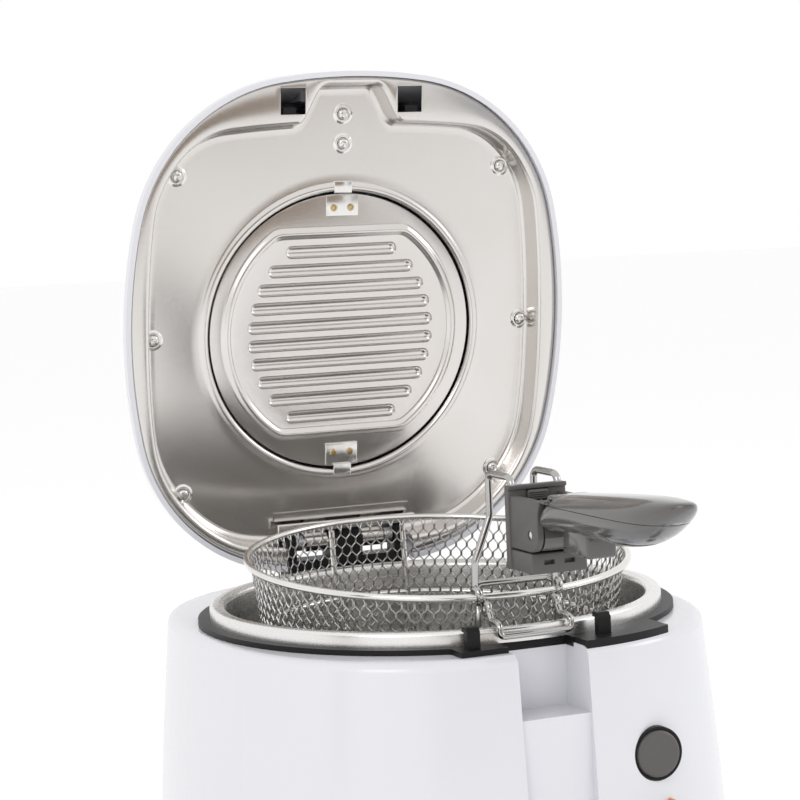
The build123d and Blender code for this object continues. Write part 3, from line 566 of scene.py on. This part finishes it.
def makeLining():
    s = lidShape
    edge = roundOutline(s["halfWidth"], s["halfLength"], s["corner"], s["bow"], s["y"], 2.9)
    step = stepOutline()
    low, high = s["flangeZ"], s["plateZ"]
    rings = [
        byDirection(edge, low + 3.0), byDirection(edge, low + 1.2),
        byDirection(offsetOutline(edge, -0.4), low + 0.4), byDirection(offsetOutline(edge, -1.2), low),
    ]
    for k in range(7):
        a = math.radians(15 * k)
        rings.append(byDirection(offsetOutline(step, 3.2 - 2.6 * math.sin(a)), low + 2.6 * (1 - math.cos(a))))
    for k in range(7):
        a = math.radians(15 * k)
        rings.append(byDirection(offsetOutline(step, -0.3 - 3.2 * (1 - math.cos(a))), high - 3.2 * (1 - math.sin(a))))
    rings.append(byDirection(offsetOutline(step, -6.0), high))
    for radius, z in (
        (84, 0), (79.5, 0), (78.6, -0.15), (77.6, -0.75), (76.6, -1.1), (75.6, -1.1), (74.8, -0.7), (74.2, 0.0),
        (74.0, 1.2), (74.0, 15.0),
    ):
        circle = [(radius * math.cos(a), s["filterY"] + radius * math.sin(a)) for a in directions]
        rings.append(byDirection(circle, high + z))
    lining = ringStack("lining", rings)
    holes = []
    for x in (-32.15, 32.15):
        holes.append(roundedBox("hole", (x - 6.75, -127.75, low - 8), (x + 6.75, -114.25, low + 8), 0))
    holes.append(roundedBox("hole", (-36, 101.4, low - 14), (36, 180, 211.3), 0))
    addModifier(lining, "SOLIDIFY", thickness=0.8 * mm, offset=1.0, use_even_offset=False)
    cutWith(lining, holes)
    return lining


print("helpers ready")
lining = makeLining()
openLid(lining)
dress(lining, "lidLining", "lid", "satinSteel", ["lid_lining"], 40)
print("lid lining made")

# screws of the lid: a dished collar pressed in the sheet, and a domed head with a cross

screwShape = {
    "head": 2.7, "collar": 5.4,
    "places": (
        (-90.3, -83.5), (90.3, -83.5), (-103.6, 0.0), (103.6, 0.0), (-88.5, 81.8), (88.5, 81.8),
        (0.0, -97.8), (0.0, -113.1),
    ),
}


def makeScrew(x, y, z, turn):
    # its visible side faces down, towards the bowl
    head = ringStack("screwHead", [
        circleRing(r, z + h, 32, (x, y))
        for r, h in ((2.7, -0.2), (2.7, -1.0), (2.45, -1.6), (1.9, -2.0), (1.1, -2.2), (0.3, -2.25))
    ], True, True)
    slots = []
    # the two arms of the cross differ a little in depth and length, so that no faces of the cuts coincide
    for extra, reach, depth in ((0, 1.7, 0.9), (90, 1.62, 0.84)):
        slot = roundedBox("slot", (-reach, -0.33, -0.9), (reach, 0.33, depth), 0)
        turnMesh(slot, Matrix.Translation(Vector((x, y, z - 2.3)) * mm) @ Matrix.Rotation(math.radians(turn + extra), 4, "Z"))
        slots.append(slot)
    cutWith(head, slots)
    pressed = ((5.6, 0.05), (5.0, -0.12), (4.4, -0.6), (3.9, -0.75), (3.4, -0.6), (3.0, -0.1), (2.6, 0.1))
    loop = list(pressed) + [(r, h + 0.4) for r, h in reversed(pressed)] + [pressed[0]]
    collar = ringStack("collar", [circleRing(r, z + h, 32, (x, y)) for r, h in loop])
    tidyNormals(collar)
    return [head, collar]


parts = []
for index, (x, y) in enumerate(screwShape["places"]):
    parts += makeScrew(x, y, lidShape["plateZ"], 23 + 31 * index)
lidScrews = joinPieces(parts, "lidScrews")
openLid(lidScrews)
dress(lidScrews, "lidScrews", "lid", "brightSteel", ["lid_screws"], 40)
print("lid screws made")

# filter cover: a shallow dish with a flat-sided bead and ten pressed slots

coverShape = {
    "radius": 73.0, "beadRadius": 63.5, "flatFront": 52.5, "flatRear": 53.5, "slots": 10, "pitch": 9.7,
    "slotHeight": 6.8, "slotReach": 55.4, "slotShift": 0.8, "z": 204.4,
}


def coverOutline(offset, z, count=240):
    c = coverShape
    ring = []
    for i in range(count):
        a = math.tau * i / count
        flat = c["flatRear"] if math.sin(a) > 0 else c["flatFront"]
        side = c["beadRadius"] + offset
        straight = (flat + offset) / max(abs(math.sin(a)), 0.001)
        power = 80
        r = (side ** -power + straight ** -power) ** (-1 / power)
        ring.append((r * math.cos(a), lidShape["filterY"] + r * math.sin(a), z))
    return ring


def pillRing(half, height, y, z, count=12):
    ring = []
    for side in (1, -1):
        for k in range(count + 1):
            a = -math.pi / 2 + math.pi * k / count
            ring.append((side * (half - height / 2 + height / 2 * math.cos(a)), y + side * height / 2 * math.sin(a), z))
    return ring


def makeCover():
    c = coverShape
    z = c["z"]
    rings = [circleRing(c["radius"] + r, z + h, 240, (0, lidShape["filterY"])) for r, h in (
        (0.0, 2.4), (0.0, 0.8), (-0.4, 0.2), (-1.2, 0.0),
    )]
    for offset, h in (
        (3.6, 0.0), (2.4, -0.15), (1.6, -0.9), (0.8, -1.45), (0.0, -1.6), (-0.8, -1.45), (-1.6, -0.9), (-2.4, -0.15),
        (-3.4, 0.0),
    ):
        rings.append(coverOutline(offset, z + h))
    dish = ringStack("dish", rings)
    parts = [dish]
    for i in range(c["slots"]):
        dy = (i - (c["slots"] - 1) / 2) * c["pitch"]
        half = math.sqrt(c["slotReach"] ** 2 - dy**2) - 3.0
        y = lidShape["filterY"] + c["slotShift"] + dy
        steps = [(6.4 * (1 - math.cos(a)), 2.7 * math.sin(a)) for a in [math.radians(11.25 * k) for k in range(9)]]
        parts.append(ringStack("slot", [
            pillRing(half - cut / 2, c["slotHeight"] - cut, y, z + h) for cut, h in steps
        ], False, True))
    cover = joinPieces(parts, "cover")
    bpy.ops.object.mode_set(mode="EDIT")
    bpy.ops.mesh.select_all(action="DESELECT")
    bpy.ops.mesh.select_mode(type="EDGE")
    mesh = bmesh.from_edit_mesh(cover.data)
    for edge in mesh.edges:
        flat = all(abs(v.co.z - z * mm) < 1e-6 for v in edge.verts)
        near = all(math.hypot(v.co.x, v.co.y) < 0.066 for v in edge.verts)
        edge.select = edge.is_boundary and flat and near
    bmesh.update_edit_mesh(cover.data)
    bpy.ops.mesh.fill()
    bpy.ops.mesh.select_all(action="SELECT")
    bpy.ops.mesh.remove_doubles(threshold=0.00001)
    bpy.ops.mesh.normals_make_consistent(inside=False)
    bpy.ops.object.mode_set(mode="OBJECT")
    addModifier(cover, "SOLIDIFY", thickness=0.6 * mm, offset=-1.0)
    return cover


cover = makeCover()
openLid(cover)
dress(cover, "filterCover", "lid", "satinSteel", ["filter_cover"], 40)
tabs = []
for y0, y1 in ((-70.8, -59.8), (61.2, 73.2)):
    tabs.append(roundedBox("tab", (-9, y0, 203.5), (9, y1, 204.4), 0.35))
for y in (-75.2, 75.6):
    tabs.append(roundedBox("tongue", (-5, y - 3.2, 202.0), (5, y + 3.2, 203.4), 0.5))
filterTabs = joinPieces(tabs, "tabs")
openLid(filterTabs)
dress(filterTabs, "filterTabs", "lid", "brightSteel", ["filter_tabs"])
rivets = []
for x in (-4.7, 4.7):
    for y in (-64.3, 66.2):
        rivets.append(ringStack("rivet", [
            circleRing(r, 203.5 + h, 24, (x, y)) for r, h in ((1.9, 0.1), (1.9, -0.3), (1.6, -0.7), (1.0, -0.75), (0.7, -0.2))
        ], True, True))
filterRivets = joinPieces(rivets, "rivets")
openLid(filterRivets)
dress(filterRivets, "filterRivets", "lid", "brassRivet", ["filter_rivets"])
print("filter cover made")

# charcoal pad behind the filter cover

pad = ringStack("pad", [
    circleRing(r, z, 96, (0, lidShape["filterY"]))
    for r, z in ((66, 207.2), (69.6, 207.5), (70.4, 208.6), (70.4, 213.4), (69.6, 214.6), (66, 214.8))
], True, True)
openLid(pad)
dress(pad, "filterPad", "lid", "filterFleece", ["filter_pad"])

# bowl: spun sheet with a rolled rim and an upright skirt

bowlShape = {"y": -8.6, "rim": 109.4, "top": 190.0, "skirt": 6.5, "flange": 7.7, "wall": 1.2, "depth": 131.0, "corner": 22.0}


def makeBowl():
    b = bowlShape
    rim, top = b["rim"], b["top"]
    inner = rim - b["flange"]
    profile = [(rim, top - b["skirt"]), (rim, top - 2.2)]
    for k in range(1, 6):
        a = math.radians(18 * k)
        profile.append((rim - 2.0 * (1 - math.cos(a)), top - 2.0 * (1 - math.sin(a))))
    profile.append((rim - 4.6, top - 0.05))
    profile.append((inner + 2.6, top - 0.45))
    for k in range(1, 6):
        a = math.radians(18 * k)
        profile.append((inner + 2.6 * (1 - math.sin(a)), top - 0.45 - 2.6 * (1 - math.cos(a))))
    profile += [(inner - 0.2, top - 12.0), (inner - 0.5, top - 40.0), (inner - 1.2, top - 80.0)]
    floor = top - b["depth"]
    corner = b["corner"]
    edge = inner - 1.6
    profile.append((edge, floor + corner + 2.0))
    for k in range(0, 9):
        a = math.radians(90 * k / 8)
        profile.append((edge - corner * (1 - math.cos(a)), floor + corner * (1 - math.sin(a))))
    profile += [(edge - corner - 6.0, floor), (46.0, floor), (44.0, floor - 0.5), (42.0, floor - 0.5), (40.0, floor), (12.0, floor), (2.0, floor)]
    bowl = ringStack("bowl", [circleRing(r, z, 180, (0, b["y"])) for r, z in profile], False, True)
    addModifier(bowl, "SOLIDIFY", thickness=0.9 * mm, offset=-1.0)
    return bowl


bowl = makeBowl()
dress(bowl, "fryingBowl", "root", "pressedAluminium", ["bowl"])
print("bowl made")

# basket: zigzag strands side by side make the wall, crossing wires make the floor

basketShape = {
    "rim": 92.0, "wire": 3.3, "strands": 196, "strand": 0.76, "depth": 73.0, "floor": 79.6, "corner": 8.0,
    "row": 9.2, "floorPitch": 4.6,
}


def wallRadius(depth):
    b = basketShape
    return b["rim"] - 2.4 - (b["rim"] - 2.4 - b["floor"]) * depth / b["depth"]


def makeBasketMesh():
    b = basketShape
    pitch = math.tau / b["strands"]
    parts = []
    paths = []
    for side in (0, 1):
        sign = 1 if side else -1
        path = [(b["rim"] - 1.3, 0.0, -0.8)]
        depth = 2.2
        step = 0
        while depth < b["depth"] - b["corner"] * 0.5:
            swing = (1 if step % 2 else -1) * sign * 0.5
            radius = wallRadius(depth) + 0.22 * sign * (1 if step % 2 else -1)
            for drop, share in ((b["row"] * 0.1, 0.85), (b["row"] * 0.18, 1.0), (b["row"] * 0.32, 1.0), (b["row"] * 0.4, 0.85)):
                a = swing * share * pitch * 0.86
                path.append((radius * math.cos(a), radius * math.sin(a), -depth - drop))
            depth += b["row"] / 2
            step += 1
        foot = b["floor"]
        path.append((foot - 1.6, 0.0, -b["depth"] + 1.2))
        path.append((foot - 5.0, 0.0, -b["depth"] - 0.2))
        paths.append(path)
    strands = [wireAlong("strand", [path], b["strand"], 1) for path in paths]
    copies = []
    for i in range(b["strands"]):
        source = strands[i % 2]
        copy = bpy.data.objects.new("strandCopy", source.data.copy())
        bpy.context.scene.collection.objects.link(copy)
        turnMesh(copy, Matrix.Rotation(pitch * i, 4, "Z"))
        copies.append(copy)
    for source in strands:
        bpy.data.objects.remove(source, do_unlink=True)
    floorPaths = []
    reach = b["floor"] - 3.4
    count = int(reach / b["floorPitch"])
    for direction in (0, 1):
        for i in range(-count, count + 1):
            across = i * b["floorPitch"]
            half = math.sqrt(reach**2 - across**2)
            steps = max(2, int(2 * half / b["floorPitch"]))
            path = []
            for k in range(steps + 1):
                along = -half + 2 * half * k / steps
                lift = 0.4 * (1 if (k + i + direction) % 2 else -1)
                a = math.radians(45)
                x, y = (along, across) if direction else (across, along)
                path.append((x * math.cos(a) - y * math.sin(a), x * math.sin(a) + y * math.cos(a), -b["depth"] - 0.3 + lift))
            floorPaths.append(path)
    copies.append(wireAlong("floorWires", floorPaths, b["strand"], 1))
    return joinPieces(copies, "basketMesh")


basketMesh = makeBasketMesh()
tiltBasket(basketMesh)
dress(basketMesh, "basketMesh", "basket", "chromedWire", ["basket_mesh"], 80)
print("basket mesh made:", len(basketMesh.data.polygons), "faces")

# wires that carry the handle, and the rest that hangs over the bowl's rim

wireShape = {"foot": 19.8, "top": 11.2, "footY": -100.0, "plateY": -124.3, "archZ": 257.0, "wire": 3.3, "thin": 3.0}


def makeHandleWires():
    w = wireShape
    paths = []
    for side in (-1, 1):
        paths.append(bentPath([
            (side * w["foot"], w["footY"] + 0.6, 199.8), (side * w["foot"], w["footY"] - 0.2, 207.0),
            (side * (w["foot"] - 0.2), w["footY"] - 0.8, 218.0), (side * w["top"], w["footY"] - 0.4, 238.0),
            (side * w["top"], w["footY"] - 0.2, w["archZ"]), (side * w["top"], w["plateY"], w["archZ"]),
            (side * w["top"], w["plateY"], 241.0),
        ], 5.0))
        # an eye at the foot takes the rim wire
        paths.append([
            (side * w["foot"] + side * 0.6 * math.sin(a) , -102.3 + 2.6 * math.cos(a), 203.2 + 2.6 * math.sin(a))
            for a in [math.radians(18 * k) for k in range(2, 21)]
        ])
    wires = wireAlong("handleWires", paths, w["wire"], 5)
    bar = wireAlong("crossBar", [bentPath([
        (-w["foot"], -98.9, 205.4), (-w["foot"] + 3, -98.0, 207.2), (w["foot"] - 3, -98.0, 207.2), (w["foot"], -98.9, 205.4),
    ], 3.0)], w["thin"], 5)
    return joinPieces([wires, bar], "handleWires")


handleWires = makeHandleWires()
dress(handleWires, "handleWires", "basket", "chromedWire", ["handle_wires"], 60)


def makeFrontRest():
    path = []
    for side in (-1, 1):
        curl = [
            (side * 16.8, -105.4 + 2.6 * math.cos(a), 197.2 + 2.6 * math.sin(a))
            for a in [math.radians(20 * k) for k in range(-12, 5)]
        ]
        half = curl + [
            (side * 16.8, -108.0, 195.6), (side * 17.0, -110.6, 192.3), (side * 17.2, -115.0, 192.6),
            (side * 17.4, -119.4, 192.0), (side * 17.6, -120.2, 186.8),
        ]
        path = half if side < 0 else path + list(reversed(half))
    straight = [path[0]] + path[1:-1] + [path[-1]]
    return wireAlong("frontRest", [bentPath(straight, 2.4, 4)], wireShape["thin"], 5)


frontRest = makeFrontRest()
dress(frontRest, "frontRest", "root", "chromedWire", ["front_rest"], 60)
print("wires made")

# handle plate: a framed plate with a cheek each side of the grip's hub

plateShape = {
    "back": -122.4, "front": -126.2, "half": 14.2, "bottom": 217.0, "top": 253.7, "pinY": -145.0, "pinZ": 234.0,
    "cheekFront": -152.4, "cheekLow": 226.7, "cheekHigh": 249.5, "outer": 13.4, "inner": 10.2, "shoulder": 12.0,
    "shoulderY": -165.6, "shoulderZ": 240.3, "blockFront": -146.0, "blockHigh": 226.0,
}


def arcPoints(y, z, radius, start, end, count):
    points = []
    for i in range(count + 1):
        a = math.radians(start + (end - start) * i / count)
        points.append((y + radius * math.cos(a), z + radius * math.sin(a)))
    return points


def slabAlongX(name, outline, a, b):
    return ringStack(name, [[(x, y, z) for y, z in outline] for x in (a, b)], True, True)


def makeHandlePlate():
    p = plateShape
    parts = [
        roundedBox("plate", (-p["half"], p["front"], p["bottom"]), (p["half"], p["back"], p["top"]), 0.7),
        roundedBox("topStrip", (-p["half"], p["front"] - 0.9, p["top"] - 1.9), (p["half"], p["front"] + 1.0, p["top"]), 0.35),
        roundedBox("block", (-p["outer"], p["blockFront"], p["bottom"]), (p["outer"], p["front"] + 0.5, p["blockHigh"]), 0.7),
    ]
    low = p["pinY"] - p["cheekFront"]
    outline = [(p["front"] + 0.5, p["cheekLow"])]
    outline += arcPoints(p["pinY"], p["cheekLow"] + low, low, 270, 180, 12)
    rim = p["cheekFront"] - p["shoulderY"]
    outline += arcPoints(p["shoulderY"], p["shoulderZ"], rim, 0, 51, 12)
    outline += [(p["shoulderY"] + 6.2, p["cheekHigh"]), (p["front"] + 0.5, p["cheekHigh"])]
    for side in (-1, 1):
        a, b = sorted((side * p["inner"], side * p["outer"]))
        cheek = slabAlongX("cheek", outline, a, b)
        addModifier(cheek, "BEVEL", width=0.55 * mm, segments=3, limit_method="ANGLE")
        cheek = cutWith(cheek, [rodAlongX("bore", a - 1, b + 1, p["pinY"], p["pinZ"], 2.05, 32, 0)])
        parts.append(cheek)
    slots = []
    for x in (-7.4, 2.4):
        slots.append(roundedBox("slot", (x, p["blockFront"] - 1, 220.9), (x + 5.0, p["blockFront"] + 2.4, 222.9), 0))
    parts[2] = cutWith(parts[2], slots)
    window = roundedBox("window", (-5.3, p["front"] - 2, p["top"] - 10.4), (5.3, p["front"] + 2.4, p["top"] - 2.0), 0)
    parts[0] = cutWith(parts[0], [window])
    return joinPieces(parts, "handlePlate")


handlePlate = makeHandlePlate()
dress(handlePlate, "handlePlate", "basket", "matteGrey", ["handle_plate"])
handlePin = rodAlongX("handlePin", -13.1, 13.1, plateShape["pinY"], plateShape["pinZ"], 2.0, 32, 0.5)
dress(handlePin, "handlePin", "basket", "brightSteel", ["handle_pin"])
ribs = [roundedBox("thumb", (-5, -127.8, 246.5), (5, -124.1, 251.3), 0.7)]
for k in range(4):
    z = 247.5 + k * 0.95
    ribs.append(roundedBox("rib", (-4.2, -128.35, z - 0.25), (4.2, -127.5, z + 0.25), 0.15, 2))
thumbButton = joinPieces(ribs, "thumbButton")
dress(thumbButton, "thumbButton", "thumb", "matteGrey", ["thumb_button"])
print("handle plate made")

# grip: rings of rounded section from the hub to the tip, parted along its side into a top and a bottom shell

gripShape = {
    # y, top z, bottom z, half width
    "stations": (
        (-153.6, 242.2, 237.4, 11.4), (-153.9, 244.6, 236.6, 12.4), (-155.0, 247.0, 236.1, 13.0),
        (-157.2, 249.6, 235.9, 13.5), (-160.6, 251.8, 236.0, 13.8), (-166.0, 253.2, 236.4, 14.0), (-178.0, 254.3, 236.8, 14.1), (-190.0, 255.3, 236.2, 14.1),
        (-202.0, 256.3, 235.9, 14.0), (-214.0, 257.2, 236.2, 13.8), (-226.0, 258.0, 237.8, 13.2),
        (-236.0, 258.5, 241.2, 12.1), (-243.0, 258.6, 244.9, 10.6), (-249.4, 258.5, 248.7, 8.7),
        (-254.2, 258.3, 252.0, 6.4), (-257.0, 258.0, 254.3, 4.0), (-258.5, 257.5, 255.8, 1.8),
    ),
    "partingZ": 248.6,
}


def gripRing(y, top, bottom, half, count=72):
    ring = []
    middle, tall = (top + bottom) / 2, (top - bottom) / 2
    for i in range(count):
        a = math.tau * i / count
        c, s = math.cos(a), math.sin(a)
        power = 2.5 if s > 0 else 2.15
        ring.append((
            half * math.copysign(abs(c) ** (2 / power), c), y, middle + tall * math.copysign(abs(s) ** (2 / power), s)
        ))
    return ring


def between(stations, count):
    # a smooth run of stations through the given ones
    rows = []
    for i in range(len(stations) - 1):
        p = [stations[max(i - 1, 0)], stations[i], stations[i + 1], stations[min(i + 2, len(stations) - 1)]]
        for k in range(count):
            t = k / count
            rows.append(tuple(
                0.5 * (2 * b + (c - a) * t + (2 * a - 5 * b + 4 * c - d) * t * t + (3 * b - a - 3 * c + d) * t ** 3)
                for a, b, c, d in zip(*p)
            ))
    rows.append(stations[-1])
    return rows


def keepOneSide(piece, z, above):
    # cut level at that height, closed where it is cut
    onlySelected(piece)
    bpy.ops.object.mode_set(mode="EDIT")
    bpy.ops.mesh.select_all(action="SELECT")
    bpy.ops.mesh.bisect(
        plane_co=(0, 0, z * mm), plane_no=(0, 0, 1), use_fill=True, clear_inner=above, clear_outer=not above
    )
    bpy.ops.object.mode_set(mode="OBJECT")
    tidyNormals(piece)
    return piece


def makeHub():
    # a tube round the pin
    p = plateShape
    rings = []
    for x, radius in ((-9.5, 7.2), (9.5, 7.2), (9.5, 2.05), (-9.5, 2.05), (-9.5, 7.2)):
        rings.append([(x, y, z) for y, z in arcPoints(p["pinY"], p["pinZ"], radius, 0, 360, 64)[:-1]])
    hub = ringStack("hub", rings)
    tidyNormals(hub)
    return hub


def makeGrip():
    g = gripShape
    rings = [gripRing(*row) for row in between(g["stations"], 3)]
    grip = ringStack("grip", rings, True, True)
    upper = bpy.data.objects.new("gripUpper", grip.data.copy())
    bpy.context.scene.collection.objects.link(upper)
    upper = keepOneSide(upper, g["partingZ"] + 0.12, True)
    lower = keepOneSide(grip, g["partingZ"] - 0.12, False)
    for half in (upper, lower):
        addModifier(half, "BEVEL", width=0.35 * mm, segments=2, limit_method="ANGLE", angle_limit=math.radians(42))
    # neck, hub and lever are moulded with the lower half
    neck = roundedBox("neck", (-9.5, -158.0, 237.0), (9.5, -139.5, 248.2), 0.8)
    lever = roundedBox("lever", (-7.0, -186.0, 227.8), (7.0, -163.0, 242.0), 1.4)
    # a ridge over the middle carries the top of the grip back to the plate
    ridge = roundedBox("ridge", (-9.4, -168.0, 249.0), (9.4, -154.2, 252.2), 1.4)
    return joinPieces([upper, ridge], "gripUpper"), joinPieces([lower, neck, lever, makeHub()], "gripLower")


gripUpper, gripLower = makeGrip()
dress(gripUpper, "gripUpper", "grip", "glossyGrey", ["grip_upper"], 38)
dress(gripLower, "gripLower", "grip", "glossyGrey", ["grip_lower"], 38)
print("grip made")

# steel strip along the top of the hinge leaf, in front of the lining

stripShape = {"half": 38.9, "front": 104.6, "back": 108.4, "bottom": 209.2, "top": 213.8, "edge": 0.5}
s = stripShape
hingeStrip = roundedBox(
    "hingeStrip", (-s["half"], s["front"], s["bottom"]), (s["half"], s["back"], s["top"]), s["edge"]
)
dress(hingeStrip, "hingeStrip", "lid", "brightSteel", [])
print("hinge strip made")
